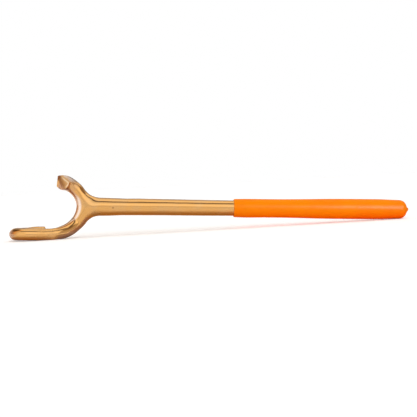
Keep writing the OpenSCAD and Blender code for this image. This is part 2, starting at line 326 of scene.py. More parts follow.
# The softbox that gives the grip its highlight
SOFTBOX_PLACE = Vector((0.62, -0.58, 0.27))
SOFTBOX_TARGET = Vector((0.25, 0, 0))
SOFTBOX_WIDTH = 0.55
SOFTBOX_HEIGHT = 0.34
SOFTBOX_POWER = 34.0

# The photograph's camera
CAMERA_TARGET = mm(131.4, 0.0, -0.58)
CAMERA_DISTANCE = 0.8
CAMERA_YAW = math.radians(3)
CAMERA_TILT = math.radians(1)
CAMERA_ROLL = math.radians(0.466)
CAMERA_SENSOR = 36
PICTURE_PIXELS = 417
MM_A_PIXEL = 1.002
PICTURE_WIDTH = PICTURE_PIXELS * MM_A_PIXEL * MM


def angle_setting(name, description, degrees):
    return FloatProperty(
        name=name, description=description, default=math.radians(degrees), subtype="ANGLE"
    )


def length_setting(name, description, length):
    return FloatProperty(
        name=name, description=description, default=length, unit="LENGTH", precision=5
    )


def colour_setting(name, description, red, green, blue):
    return FloatVectorProperty(
        name=name,
        description=description,
        default=(red, green, blue, 1.0),
        size=4,
        subtype="COLOR",
        min=0,
        max=1,
    )


class WrenchSizes(bpy.types.PropertyGroup):
    """Sizes that a user may change"""

    edge_lean: angle_setting("Chisel lean", "Lean of the chisel edge from upright", 15)
    edge_rake: angle_setting("Chisel rake", "How far the chisel edge's lower end lies back", 17)
    face_slope: angle_setting("Wide face", "Slope of the wide ground face", 27)
    back_slope: angle_setting("Narrow face", "Slope of the narrow ground face", 10)
    tip_trim: length_setting(
        "Trimmed side", "Distance from the chisel edge's middle to the trimmed side", 3.4 * MM
    )
    trim_lean: angle_setting("Trim lean", "Lean of the trimmed side from upright", 8)
    dish_chord: length_setting(
        "Dish width", "Width over which the wide ground face is hollowed", 13 * MM
    )
    dish_depth: length_setting("Dish", "How far the wide ground face is hollowed", 0.5 * MM)
    shank_bow: length_setting(
        "Shank bow", "How far the shank bows upwards behind the fork", 0.45 * MM
    )
    forging_wave: length_setting("Forging wave", "Height of the forging's unevenness", 0.25 * MM)
    dip_wave: length_setting("Dip wave", "Height of the dipped sleeve's unevenness", 0.2 * MM)
    smoothness: IntProperty(
        name="Smoothness", description="Subdivision of the pieces", default=2, min=1, max=3
    )


class WrenchColours(bpy.types.PropertyGroup):
    """Colours that a user may change"""

    bronze: colour_setting("Bronze", "Clean bronze", 0.68, 0.36, 0.115)
    bronze_pale: colour_setting("Pale bronze", "Paler bronze of the mottling", 0.66, 0.37, 0.14)
    # Brown of the pits, and also of the painted shade on the tip's hollow face and upper corner
    tarnish_and_shade: colour_setting("Tarnish", "Brown of pits and old marks", 0.20, 0.062, 0.024)
    dull: colour_setting("Dull metal", "Brown of the dull jaw beside the tip", 0.62, 0.345, 0.15)
    # A painted grey-white sheen on the jaw's outer top
    sheen: colour_setting("Bloom", "Grey-white bloom on the jaw's outer side", 0.72, 0.66, 0.66)
    # A painted pinkish reflection on the head's sides that turn from the front
    side_reflection: colour_setting(
        "Unpolished bronze", "Pinkish bronze on the head's sides", 0.60, 0.335, 0.195
    )
    # A painted pale reflection along the back of the throat
    sheened: colour_setting(
        "Rubbed throat", "Pale metal along the back of the throat", 0.90, 0.74, 0.62
    )
    # A painted highlight along the rim of the tip's hollow face
    rim_highlight: colour_setting("Worn rim", "Pale gold of the tip's rubbed rim", 0.86, 0.63, 0.40)
    grip: colour_setting("Grip", "Orange of the dipped plastic", 1.0, 0.262, 0.001)
    grip_deep: colour_setting(
        "Deep grip", "Deeper orange where the plastic lies thicker", 1.0, 0.235, 0.001
    )
    # The hidden sheet's colours are painted shade under and beside the wrench, greyer under the fork and
    # darker under the hook
    shade_board: colour_setting(
        "Board", "Brown board that the wrench's lower side mirrors", 0.68, 0.43, 0.18
    )
    hook_shade: colour_setting(
        "Board at the hook", "Darker part of the board, under the hook", 0.60, 0.345, 0.13
    )
    fork_shade: colour_setting(
        "Grey of the board", "Greyer end of the board, under the fork", 0.54, 0.47, 0.43
    )
    floor: colour_setting("Floor", "Floor under the wrench", 0.92, 0.92, 0.92)


def pick(piece):
    """Makes one piece the active object and the only one selected."""
    bpy.ops.object.select_all(action="DESELECT")
    bpy.context.view_layer.objects.active = piece
    piece.select_set(True)


def start_edit(piece):
    """Opens one piece in edit mode with nothing selected."""
    pick(piece)
    bpy.ops.object.mode_set(mode="EDIT")
    bpy.ops.mesh.select_all(action="DESELECT")


def end_edit():
    bpy.ops.object.mode_set(mode="OBJECT")


def select(piece, kind, test):
    """Selects the faces, edges or verts that pass the test, and nothing else."""
    bpy.ops.mesh.select_mode(type=kind)
    bpy.ops.mesh.select_all(action="DESELECT")
    mesh = bmesh.from_edit_mesh(piece.data)
    parts = {"FACE": mesh.faces, "EDGE": mesh.edges, "VERT": mesh.verts}[kind]
    chosen = [part for part in parts if test(part)]
    if not chosen:
        raise RuntimeError(f"nothing selected on {piece.name}")
    for part in chosen:
        part.select_set(True)
    mesh.select_flush_mode()
    bmesh.update_edit_mesh(piece.data)


def middle(edge):
    return (edge.verts[0].co + edge.verts[1].co) / 2


def extrude(move):
    bpy.ops.mesh.extrude_region_move(TRANSFORM_OT_translate={"value": move})


def draw_rings(rings):
    """Draws the selected ring along X, through each place with its radius."""
    x, r = rings[0]
    for next_x, next_r in rings[1:]:
        extrude((next_x - x, 0, 0))
        bpy.ops.transform.resize(value=(1, next_r / r, next_r / r), center_override=(next_x, 0, 0))
        x, r = next_x, next_r
    bpy.ops.mesh.edge_face_add()


def apply_modifier(piece, kind, **settings):
    """Adds a modifier, sets it up and applies it."""
    pick(piece)
    bpy.ops.object.modifier_add(type=kind)
    modifier = piece.modifiers[-1]
    for name, value in settings.items():
        setattr(modifier, name, value)
    bpy.ops.object.modifier_apply(modifier=modifier.name)


def subdivide(piece, levels):
    apply_modifier(piece, "SUBSURF", levels=levels, render_levels=levels)


def roughen(piece, name, height, width):
    """Moves the surface in and out a little, as hand work leaves it."""
    clouds = bpy.data.textures.new(name, "CLOUDS")
    clouds.noise_scale = width
    clouds.noise_depth = 1
    apply_modifier(
        piece, "DISPLACE", texture=clouds, texture_coords="LOCAL", strength=height, mid_level=0.5
    )


def shade(piece, angle):
    pick(piece)
    bpy.ops.object.shade_smooth_by_angle(angle=angle)


def share_of(part, whole):
    return min(1.0, max(0.0, part / whole))


def mark_sides(forging):
    """Notes how far each point of the head turns from the front or faces down, for the pinkish
    reflection painted there.
    """
    note = forging.data.attributes.new(HEAD_SIDES, "FLOAT", "POINT")
    for point, turned in zip(forging.data.vertices, note.data):
        inward = THROAT_MIDDLE - point.co
        inward.y = 0
        near = share_of(THROAT_REACH - inward.length, THROAT_FADE)
        near *= share_of(point.co.z - THROAT_FOOT, THROAT_FADE)
        turned.value = near * max(0.0, point.normal.dot(inward.normalized()))
        if point.co.z < LOWER_ARM_TOP:
            near = share_of(LOWER_ARM_REACH - abs(point.co.x), LOWER_ARM_FADE)
            outward = LOWER_ARM_SIDE * (1 - abs(point.normal.y)) - LOWER_ARM_BELOW * point.normal.z
            turned.value = max(turned.value, near * outward)
        if point.co.x < HOOK_BEND_X:
            turned.value = max(turned.value, -point.normal.x - HOOK_BEND_TURN)


def put_on(piece, node, material):
    """Lets a finished piece stand for its CAD node."""
    piece.data.materials.clear()
    piece.data.materials.append(material)
    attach(piece, "root")
    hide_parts(node)


def add(tree, kind, inputs=None, **settings):
    """Adds a node, sets its properties, and sets or links its inputs."""
    node = tree.nodes.new(kind)
    for name, value in settings.items():
        setattr(node, name, value)
    for name, value in (inputs or {}).items():
        socket = node.inputs[name]
        if isinstance(value, bpy.types.NodeSocket):
            tree.links.new(value, socket)
        else:
            socket.default_value = value
    return node


def math_node(tree, operation, first, second=0.0, third=0.0):
    inputs = {0: first, 1: second, 2: third}
    return add(tree, "ShaderNodeMath", inputs, operation=operation).outputs[0]


def product(tree, first, *others):
    """Multiplies masks and shares."""
    for other in others:
        first = math_node(tree, "MULTIPLY", first, other)
    return first


def summed(tree, start, parts):
    """Adds masks, each by its own amount, to a starting value."""
    for mask, amount in parts:
        start = math_node(tree, "MULTIPLY_ADD", mask, amount, start)
    return start


def vector_node(tree, operation, first, second=(0.0, 0.0, 0.0)):
    inputs = {0: first, 1: second}
    return add(tree, "ShaderNodeVectorMath", inputs, operation=operation).outputs


def split(tree, vector):
    return add(tree, "ShaderNodeSeparateXYZ", {"Vector": vector}).outputs


def mixed(tree, share, first, second):
    """Mixes two colours, which have the sockets 6 and 7 of a Mix node."""
    inputs = {0: share, 6: first, 7: second}
    return add(tree, "ShaderNodeMix", inputs, data_type="RGBA").outputs[2]


def smooth_range(tree, value, low, high):
    """A share that rises softly from 0 at the low value to 1 at the high one."""
    inputs = {"Value": value, "From Min": low, "From Max": high}
    node = add(tree, "ShaderNodeMapRange", inputs, interpolation_type="SMOOTHSTEP")
    return node.outputs["Result"]


def noise(tree, vector, scale, **more):
    inputs = {"Vector": vector, "Scale": scale, **more}
    return add(tree, "ShaderNodeTexNoise", inputs).outputs


def new_group(name, inputs, outputs):
    """An empty node group: inputs by name with a default number, or None for a vector, and outputs."""
    tree = bpy.data.node_groups.new(name, "ShaderNodeTree")
    for label, default in inputs.items():
        kind = "NodeSocketVector" if default is None else "NodeSocketFloat"
        socket = tree.interface.new_socket(name=label, in_out="INPUT", socket_type=kind)
        if default is not None:
            socket.default_value = default
    for label in outputs:
        tree.interface.new_socket(name=label, in_out="OUTPUT", socket_type="NodeSocketFloat")
    return tree, tree.nodes.new("NodeGroupInput").outputs, tree.nodes.new("NodeGroupOutput").inputs


def mottle_group():
    """Soft patches: a mask that drifts over the surface."""
    tree, source, sink = new_group(
        "Mottle", {"Vector": None, "Scale": 60.0, "Low": 0.35, "High": 0.7}, ["Mask"]
    )
    clouds = noise(tree, source["Vector"], source["Scale"], Detail=4.0, Roughness=0.55)["Fac"]
    tree.links.new(smooth_range(tree, clouds, source["Low"], source["High"]), sink["Mask"])
    return tree


def speck_group():
    """Scattered small uneven marks: dark pits in metal, dust nicks in plastic."""
    tree, source, sink = new_group(
        "Specks", {"Vector": None, "Scale": 400.0, "Size": 0.16, "Share": 0.25}, ["Mask"]
    )
    wander = add(
        tree,
        "ShaderNodeVectorMath",
        {0: noise(tree, source["Vector"], 2500.0, Detail=2.0)["Color"], "Scale": 0.8 * MM},
        operation="SCALE",
    ).outputs["Vector"]
    uneven = vector_node(tree, "ADD", source["Vector"], wander)["Vector"]
    cells = add(tree, "ShaderNodeTexVoronoi", {"Vector": uneven, "Scale": source["Scale"]}).outputs
    full = product(tree, source["Size"], 0.4)
    dots = smooth_range(tree, cells["Distance"], source["Size"], full)
    draw = add(tree, "ShaderNodeSeparateColor", {"Color": cells["Color"]}).outputs[0]
    kept = math_node(tree, "LESS_THAN", draw, source["Share"])
    tree.links.new(product(tree, dots, kept), sink["Mask"])
    return tree


def scratch_group():
    """Fine lines along the bar, from polishing or handling."""
    tree, source, sink = new_group(
        "Scratches",
        {"Vector": None, "Along": 30.0, "Across": 2500.0, "Low": 0.55},
        ["Height", "Mask"],
    )
    parts = split(tree, source["Vector"])
    scales = {"X": source["Along"], "Y": source["Across"], "Z": source["Across"]}
    stretched = add(
        tree,
        "ShaderNodeCombineXYZ",
        {axis: product(tree, parts[axis], scale) for axis, scale in scales.items()},
    ).outputs[0]
    lines = noise(tree, stretched, 1.0, Detail=3.0, Roughness=0.6)["Fac"]
    tree.links.new(lines, sink["Height"])
    tree.links.new(smooth_range(tree, lines, source["Low"], 0.8), sink["Mask"])
    return tree


def patch_group():
    """One soft spot round a point, broken up at its edge."""
    tree, source, sink = new_group(
        "Patch",
        {"Vector": None, "Place": None, "Inner": 1.0 * MM, "Outer": 3.0 * MM, "Break": 0.5},
        ["Mask"],
    )
    gap = vector_node(tree, "DISTANCE", source["Vector"], source["Place"])["Value"]
    mark = smooth_range(tree, gap, source["Outer"], source["Inner"])
    bites = product(tree, noise(tree, source["Vector"], 500.0, Detail=3.0)["Fac"], source["Break"])
    ragged = math_node(tree, "SUBTRACT", mark, bites)
    tree.links.new(smooth_range(tree, ragged, 0.0, 0.9), sink["Mask"])
    return tree


SHARED_EFFECTS = {
    "Mottle": mottle_group,
    "Specks": speck_group,
    "Scratches": scratch_group,
    "Patch": patch_group,
}


def placed(tree, name, vector, **inputs):
    """Places a shared effect, which is built the first time, with its own values."""
    group = bpy.data.node_groups.get(name) or SHARED_EFFECTS[name]()
    inputs["Vector"] = vector
    return add(tree, "ShaderNodeGroup", inputs, node_tree=group).outputs


def spot(tree, place, mark, ragged):
    """A mask of one soft spot, from its place and the radii of its full part and its faded edge."""
    point, inner, outer = mark
    return placed(tree, "Patch", place, Place=point, Inner=inner, Outer=outer, Break=ragged)["Mask"]


def spread(tree, place, marks):
    """A mask of several soft spots."""
    mask = 0.0
    for mark in marks:
        mask = math_node(tree, "MAXIMUM", mask, spot(tree, place, mark, PATCH_BREAK))
    return mask


def new_material(name):
    """A material with one Principled shader, and the Object coordinates that it reads."""
    material = bpy.data.materials.new(name)
    material.use_nodes = True
    tree = material.node_tree
    tree.nodes.clear()
    shader = add(tree, "ShaderNodeBsdfPrincipled")
    add(tree, "ShaderNodeOutputMaterial", {"Surface": shader.outputs[0]})
    place = add(tree, "ShaderNodeTexCoord").outputs["Object"]
    return material, tree, shader, place


def feed(tree, shader, sockets):
    """Links results to the shader's sockets."""
    for name, result in sockets.items():
        tree.links.new(result, shader.inputs[name])


def bumped(tree, height, strength, depth):
    inputs = {"Height": height, "Strength": strength, "Distance": depth}
    return add(tree, "ShaderNodeBump", inputs).outputs["Normal"]


def hollow_face(tree, place, sizes):
    """Masks on the hollow face: painted brown shade that fades from the chisel edge, and a painted
    highlight along its rim.
    """
    way, inward = hollow_ways(sizes)
    offset = vector_node(tree, "SUBTRACT", place, CHISEL_MIDDLE)["Vector"]
    height = vector_node(tree, "DOT_PRODUCT", offset, way)["Value"]
    along = vector_node(tree, "DOT_PRODUCT", offset, inward)["Value"]
    reach = vector_node(tree, "LENGTH", offset)["Value"]
    on_face = product(
        tree, smooth_range(tree, height, *FACE_SKIN), smooth_range(tree, reach, *FACE_REACH)
    )
    rise = smooth_range(tree, split(tree, place)["Z"], *SHADE_RISE)
    face_shade = product(
        tree,
        on_face,
        smooth_range(tree, along, *SHADE_ALONG),
        math_node(tree, "MULTIPLY_ADD", rise, 1 - SHADE_BELOW, SHADE_BELOW),
    )
    from_middle = vector_node(tree, "SUBTRACT", place, FACE_MIDDLE)["Vector"]
    radius = vector_node(tree, "LENGTH", from_middle)["Value"]
    from_shoulder = vector_node(tree, "SUBTRACT", place, TIP_SHOULDER)["Vector"]
    depth = vector_node(tree, "DOT_PRODUCT", from_shoulder, TIP_SHOULDER_WAY)["Value"]
    outer = math_node(
        tree,
        "MAXIMUM",
        smooth_range(tree, radius, *RIM_RADIUS),
        smooth_range(tree, depth, *RIM_AT_SHOULDER),
    )
    rim = product(tree, outer, smooth_range(tree, along, *RIM_ALONG), on_face)
    return face_shade, rim


def throat_sheen_band(tree, place):
    """A painted pale reflection in a band along the back of the throat."""
    parts = split(tree, place)
    flat = add(tree, "ShaderNodeCombineXYZ", {"X": parts["X"], "Z": parts["Z"]}).outputs[0]
    reach = vector_node(tree, "DISTANCE", flat, THROAT_MIDDLE)["Value"]
    depth = math_node(tree, "SUBTRACT", reach, THROAT_RADIUS + SHEEN_DEPTH)
    band = smooth_range(tree, math_node(tree, "ABSOLUTE", depth), SHEEN_WIDTH, SHEEN_CORE)
    rise = math_node(tree, "SUBTRACT", parts["Z"], SHEEN_MIDDLE)
    level = smooth_range(tree, math_node(tree, "ABSOLUTE", rise), SHEEN_HEIGHT, SHEEN_HEIGHT / 2)
    return product(tree, band, level)


def bronze_material(sizes, colours):
    """Polished forged bronze: mottled gold, fine scratches, pits and dull patches, with painted sheen,
    painted reflections, painted shade and a painted highlight on the head.
    """
    material, tree, shader, place = new_material("polished_bronze")
    clouds = placed(tree, "Mottle", place, Scale=70.0, Low=0.4, High=0.68)["Mask"]
    pits = placed(tree, "Specks", place, Scale=330.0, Size=0.12, Share=0.12)["Mask"]
    lines = placed(tree, "Scratches", place, Along=40.0, Across=2200.0, Low=0.6)
    dull = spread(tree, place, DULL_PATCHES)
    matte = spread(tree, place, MATTE_PATCHES)
    thin = math_node(tree, "MULTIPLY_ADD", clouds, -0.3, 1.0)
    # A painted grey-white sheen on the jaw's outer top
    sheen = product(tree, spread(tree, place, SHEEN_PATCHES), thin)
    # A painted pinkish reflection on the head's sides that turn from the front
    turned = add(tree, "ShaderNodeAttribute", attribute_name=HEAD_SIDES).outputs["Fac"]
    sides = smooth_range(tree, turned, *SIDES_FROM)
    # A painted pale reflection along the back of the throat
    sheened = throat_sheen_band(tree, place)
    speck = spot(tree, place, SHANK_SPECK, SPECK_BREAK)
    # Painted shade in the tip's upper corner and on the hollow face, and a painted highlight along the
    # face's rim
    corner = spot(tree, place, SHADED_CORNER, CORNER_BREAK)
    face_shade, rim = hollow_face(tree, place, sizes)
    shading = math_node(tree, "MAXIMUM", product(tree, face_shade, 0.75), product(tree, corner, 0.9))

    colour = mixed(tree, clouds, tuple(colours.bronze), tuple(colours.bronze_pale))
    # Over the real pits, dull patches and speck lie a painted sheen, painted reflections, painted shade
    # and a painted rim highlight
    layers = (
        (pits, 0.55, colours.tarnish_and_shade),
        (dull, 0.9, colours.dull),
        (sheen, 0.8, colours.sheen),
        (sides, 1.0, colours.side_reflection),
        (sheened, 0.9, colours.sheened),
        (speck, 0.8, colours.tarnish_and_shade),
        (shading, 1.0, colours.tarnish_and_shade),
        (rim, 0.75, colours.rim_highlight),
    )
    for mask, share, tint in layers:
        colour = mixed(tree, product(tree, mask, share), colour, tuple(tint))

    rough = summed(
        tree,
        BRONZE_ROUGH,
        (
            (clouds, 0.04),
            (lines["Mask"], 0.06),
            (sides, 0.12),
            (sheened, 0.12),
            (dull, 0.38),
            (matte, 0.22),
            (sheen, 0.3),
        ),
    )
    rough = math_node(tree, "MINIMUM", rough, MOST_ROUGH)

    grainy = math_node(tree, "MAXIMUM", matte, product(tree, dull, 0.4))
    coarser = math_node(tree, "MULTIPLY_ADD", grainy, GRAIN, 1.0)
    grain = product(tree, noise(tree, place, 900.0, Detail=2.0)["Fac"], coarser)
    height = summed(tree, grain, ((lines["Height"], 0.5), (pits, -1.0)))
    normal = bumped(tree, height, strength=0.25, depth=0.05 * MM)
    feed(tree, shader, {"Base Color": colour, "Roughness": rough, "Normal": normal})
    shader.inputs["Metallic"].default_value = 1.0
    return material


def grip_material(colours):
    """Dipped soft plastic: deep glossy orange with an even skin, faint scuffs and dust nicks."""
    material, tree, shader, place = new_material("dipped_plastic")
    thick = placed(tree, "Mottle", place, Scale=35.0, Low=0.4, High=0.65)["Mask"]
    nicks = placed(tree, "Specks", place, Scale=200.0, Size=0.06, Share=0.1)["Mask"]
    lines = placed(tree, "Scratches", place, Along=60.0, Across=900.0, Low=0.66)["Mask"]
    scuffs = spread(tree, place, GRIP_SCUFFS)
    colour = mixed(tree, thick, tuple(colours.grip), tuple(colours.grip_deep))
    rough = summed(tree, GRIP_ROUGH, ((thick, 0.04), (lines, 0.1), (scuffs, 0.2)))
    skin = noise(tree, place, 350.0, Detail=2.0)["Fac"]
    height = summed(tree, skin, ((nicks, -1.0), (lines, -0.4)))
    normal = bumped(tree, height, strength=0.1, depth=0.1 * MM)
    feed(tree, shader, {"Base Color": colour, "Roughness": rough, "Normal": normal})
    shader.inputs["Specular IOR Level"].default_value = 0.03
    return material


def chisel_edge(sizes):
    """The way along the chisel edge, upwards."""
    across = TIP_UP * math.cos(sizes.edge_lean) - TIP_RIGHT * math.sin(sizes.edge_lean)
    return across * math.cos(sizes.edge_rake) + TIP_WAY * math.sin(sizes.edge_rake)


def chisel_plane(sizes, slope):
    """Outward normal of a ground face that falls away from the chisel edge to its right."""
    side = TIP_RIGHT * math.cos(sizes.edge_lean) + TIP_UP * math.sin(sizes.edge_lean)
    fall = side * math.cos(slope) - TIP_WAY * math.sin(slope)
    way = fall.cross(chisel_edge(sizes)).normalized()
    return way if way.dot(TIP_WAY) > 0 else -way


def hollow_ways(sizes):
    """The hollow face's outward normal, and the way along it from the chisel edge to its rim."""
    way = chisel_plane(sizes, sizes.face_slope)
    inward = chisel_edge(sizes).cross(way)
    return way, inward if inward.dot(TIP_RIGHT) > 0 else -inward


def at_tip(point):
    return (point - CHISEL_MIDDLE).length < TIP_REACH and point.z > TIP_LOWEST


def regrow_tip(forging):
    """Takes the jaw back to its last whole ring and extends it, so that it can be ground again."""

    def past_ring(face):
        point = face.calc_center_median()
        return at_tip(point) and (point - TIP_RING).dot(TIP_RING_WAY) > CUT_MARGIN

    select(forging, "FACE", past_ring)
    bpy.ops.mesh.delete(type="FACE")
    select(forging, "EDGE", lambda e: e.is_boundary and at_tip(middle(e)))
    step = (TIP_WAY - Vector((0, 0, TIP_DROOP))) * (TIP_SPARE / TIP_STEPS)
    for count in range(1, TIP_STEPS + 1):
        extrude(step)
        bpy.ops.transform.resize(
            value=(TIP_NARROWING,) * 3, center_override=TIP_RING + step * count
        )
    bpy.ops.mesh.edge_face_add()


def redraw_shank(forging):
    """Draws the round shank out of the fork's open ring, to its end inside the grip."""
    select(forging, "FACE", lambda f: f.calc_center_median().x > FLARE_END_X - CUT_MARGIN)
    bpy.ops.mesh.delete(type="FACE")
    select(forging, "EDGE", lambda e: e.is_boundary and middle(e).x > FLARE_END_X - MM)
    mouth_x, end_x = GRIP_BOX[0].x, BODY_BOX[1].x
    rings = [(FLARE_END_X, SHANK_RING_R)]
    for step in range(1, SHANK_STEPS + 1):
        share = step / SHANK_STEPS
        x = FLARE_END_X + (mouth_x - FLARE_END_X) * share
        rings.append((x, SHANK_NECK_R + (SHANK_GRIP_R - SHANK_NECK_R) * share))
    rings += [
        ((mouth_x + end_x) / 2, SHANK_GRIP_R),
        (end_x - SHANK_CHAMFER - MM, SHANK_GRIP_R),
        (end_x - SHANK_CHAMFER, SHANK_GRIP_R),
        (end_x, SHANK_GRIP_R - SHANK_CHAMFER),
    ]
    draw_rings(rings)
    bpy.ops.mesh.inset(thickness=MM)


def square_hook_end(forging):
    """Gives the hook's free end one flat face with a firm edge."""

    def on_end(face):
        gap = face.calc_center_median() - HOOK_END
        return face.normal.x > HOOK_END_FACING and gap.length < HOOK_END_REACH

    select(forging, "FACE", on_end)
    bpy.ops.mesh.dissolve_faces()
    for thickness in HOOK_END_INSETS:
        bpy.ops.mesh.inset(thickness=thickness)


def soft_edit(forging, test, reach):
    """Selects the points that pass the test, and gives the settings that draw those in reach along."""
    select(forging, "VERT", test)
    return {
        "use_proportional_edit": True,
        "proportional_edit_falloff": "SMOOTH",
        "proportional_size": reach,
    }


def push(forging, test, reach, move):
    bpy.ops.transform.translate(value=move, **soft_edit(forging, test, reach))


def true_up(forging, sizes):
    """Brings the hand-forged bar to the photographed run: bowed shank, full jaw, raised hook."""
    push(
        forging,
        lambda v: abs(v.co.x - SHANK_BOW_X) < SHANK_BOW_HALF,
        SHANK_BOW_REACH,
        (0, 0, sizes.shank_bow),
    )
    push(
        forging,
        lambda v: v.co.x < HOOK_FROM_X and v.co.z < HOOK_TOP,
        HOOK_RAISE_REACH,
        HOOK_RAISE,
    )
    soft = soft_edit(forging, lambda v: v.co.x < HOOK_OUTER_X, HOOK_OUTER_REACH)
    bpy.ops.transform.resize(value=HOOK_OUTER_STRETCH, center_override=HOOK_END, **soft)
    for place, radius, reach, move in HAND_WORK:
        push(forging, lambda v: (v.co - place).length < radius, reach, move)


def hollow_grind(forging, sizes):
    """Grinds the wide chisel face with a wheel, which leaves it hollow."""
    way, inward = hollow_ways(sizes)
    edge_way = way.cross(inward)
    chord = sizes.dish_chord / 2
    radius = (chord**2 + sizes.dish_depth**2) / (2 * sizes.dish_depth)
    bpy.ops.object.select_all(action="DESELECT")
    bpy.ops.mesh.primitive_cylinder_add(
        vertices=WHEEL_SIDES,
        radius=radius,
        depth=WHEEL_WIDTH,
        location=CHISEL_MIDDLE + inward * chord + way * (radius - sizes.dish_depth),
        rotation=edge_way.to_track_quat("Z", "Y").to_euler(),
    )
    wheel = bpy.context.object
    apply_modifier(forging, "BOOLEAN", object=wheel, operation="DIFFERENCE", solver="EXACT")
    bpy.data.objects.remove(wheel)


def grind_tip(forging, sizes):
    """Grinds the narrow chisel face, the trimmed side and the shoulder."""
    trim_way = Vector((-math.cos(sizes.trim_lean), 0, math.sin(sizes.trim_lean)))
    cuts = (
        (CHISEL_MIDDLE, chisel_plane(sizes, -sizes.back_slope)),
        (CHISEL_MIDDLE + trim_way * sizes.tip_trim, trim_way),
        (TIP_SHOULDER, TIP_SHOULDER_WAY),
    )
    for point, way in cuts:
        select(forging, "FACE", lambda f: at_tip(f.calc_center_median()))
        bpy.ops.mesh.bisect(
            plane_co=point, plane_no=way, use_fill=True, clear_outer=True, threshold=SAME_POINT
        )


class WRENCH_OT_forge_body(bpy.types.Operator):
    """Makes the bronze forging: shank, fork, chisel-tipped jaw and hook"""

    bl_idname = "wrench.forge_body"
    bl_label = "Forge Body"

    def execute(self, context):
        sizes, colours = context.scene.wrench_sizes, context.scene.wrench_colours
        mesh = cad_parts["forged_body"].data.copy()
        forging = bpy.data.objects.new("bronze_forging", mesh)
        context.collection.objects.link(forging)
        start_edit(forging)
        bpy.ops.mesh.select_all(action="SELECT")
        bpy.ops.mesh.remove_doubles(threshold=SAME_POINT)
        regrow_tip(forging)
        redraw_shank(forging)
        square_hook_end(forging)
        bpy.ops.mesh.select_all(action="SELECT")
        bpy.ops.mesh.tris_convert_to_quads(face_threshold=QUAD_ANGLE, shape_threshold=QUAD_ANGLE)
        end_edit()
        subdivide(forging, sizes.smoothness)
        start_edit(forging)
        select(forging, "VERT", lambda v: (v.co - HUB).length < HUB_REACH)
        bpy.ops.mesh.vertices_smooth(factor=0.5, repeat=HUB_SMOOTHING)
        true_up(forging, sizes)
        end_edit()
        roughen(forging, "forging_waves", sizes.forging_wave, FORGING_WAVE_WIDTH)
        hollow_grind(forging, sizes)
        start_edit(forging)
        grind_tip(forging, sizes)
        end_edit()
        shade(forging, FORGING_SHARP)
        mark_sides(forging)
        put_on(forging, "forged_body", bronze_material(sizes, colours))
        return {"FINISHED"}


def ease(share):
    return (1 - math.cos(math.pi * share)) / 2


def sleeve_outline():
    """Rings of the sleeve from its mouth to the end of its nib: place along the handle, radius."""
    mouth_x, nib_x = GRIP_BOX[0].x, GRIP_BOX[1].x
    end_x = nib_x - NIB_HEIGHT
    stops = [(mouth_x + offset, r) for offset, r in SLEEVE_STOPS]
    stops.append((end_x - SLEEVE_END_R, SLEEVE_HEEL_R))
    rings = [(mouth_x + offset, r) for offset, r in SLEEVE_LIP] + stops[:1]
    for (x, r), (next_x, next_r) in zip(stops, stops[1:]):
        count = max(2, round((next_x - x) / SLEEVE_STEP))
        for step in range(1, count + 1):
            share = step / count
            rings.append((x + (next_x - x) * share, r + (next_r - r) * ease(share)))
    for degrees in SLEEVE_END_TURNS:
        angle = math.radians(degrees)
        x = end_x - SLEEVE_END_R * (1 - math.sin(angle))
        rings.append((x, SLEEVE_HEEL_R - SLEEVE_END_R * (1 - math.cos(angle))))
    return rings + [(nib_x - offset, r) for offset, r in NIB_RINGS]


class WRENCH_OT_dip_grip(bpy.types.Operator):
    """Makes the dipped plastic sleeve with its square mouth, rounded end and drip nib"""

    bl_idname = "wrench.dip_grip"
    bl_label = "Dip Grip"

    def execute(self, context):
        sizes, colours = context.scene.wrench_sizes, context.scene.wrench_colours
        rings = sleeve_outline()
        mouth_x, mouth_r = rings[0]
        end_x = BODY_BOX[1].x
        bpy.ops.object.select_all(action="DESELECT")
        bpy.ops.mesh.primitive_circle_add(
            vertices=SLEEVE_SIDES,
            radius=mouth_r,
            location=(mouth_x, 0, 0),
            rotation=(0, math.pi / 2, 0),
        )
        sleeve = context.object
        sleeve.name = "dipped_sleeve"
        bpy.ops.object.transform_apply(location=True, rotation=True, scale=True)
        start_edit(sleeve)
        select(sleeve, "EDGE", lambda e: True)
        draw_rings(rings)
        select(sleeve, "EDGE", lambda e: e.is_boundary and middle(e).x < mouth_x + MM)
        draw_rings(
            [
                rings[0],
                (mouth_x, SHANK_GRIP_R + SLEEVE_PLAY),
                (mouth_x + MM, SHANK_GRIP_R),
                (end_x - SHANK_CHAMFER, SHANK_GRIP_R),
                (end_x, SHANK_GRIP_R - SHANK_CHAMFER),
            ]
        )
        bpy.ops.mesh.select_all(action="SELECT")
        bpy.ops.mesh.normals_make_consistent(inside=False)
        end_edit()
        subdivide(sleeve, sizes.smoothness)
        roughen(sleeve, "dip_waves", sizes.dip_wave, DIP_WAVE_WIDTH)
        shade(sleeve, SLEEVE_SHARP)
        put_on(sleeve, "handle_grip", grip_material(colours))
        return {"FINISHED"}


def wall_colour(colour):
    return [channel / STUDIO_MOST for channel in colour] + [1.0]


def level_ramp(tree, share, levels):
    """A colour ramp through the given levels of light."""
    ramp = add(tree, "ShaderNodeValToRGB", {"Fac": share})
    stops = ramp.color_ramp.elements
    while len(stops) < len(levels):
        stops.new(0.5)
    for stop, (place, colour) in zip(stops, levels):
        stop.position = place
        stop.color = wall_colour(colour)
    return ramp.outputs["Color"]


def wall_ramp(tree, part, levels):
    """A colour ramp by a part of a direction, which goes from -1 to 1."""
    share = math_node(tree, "MULTIPLY_ADD", part, 0.5, 0.5)
    return level_ramp(tree, share, [(place / 2 + 0.5, level) for place, level in levels])


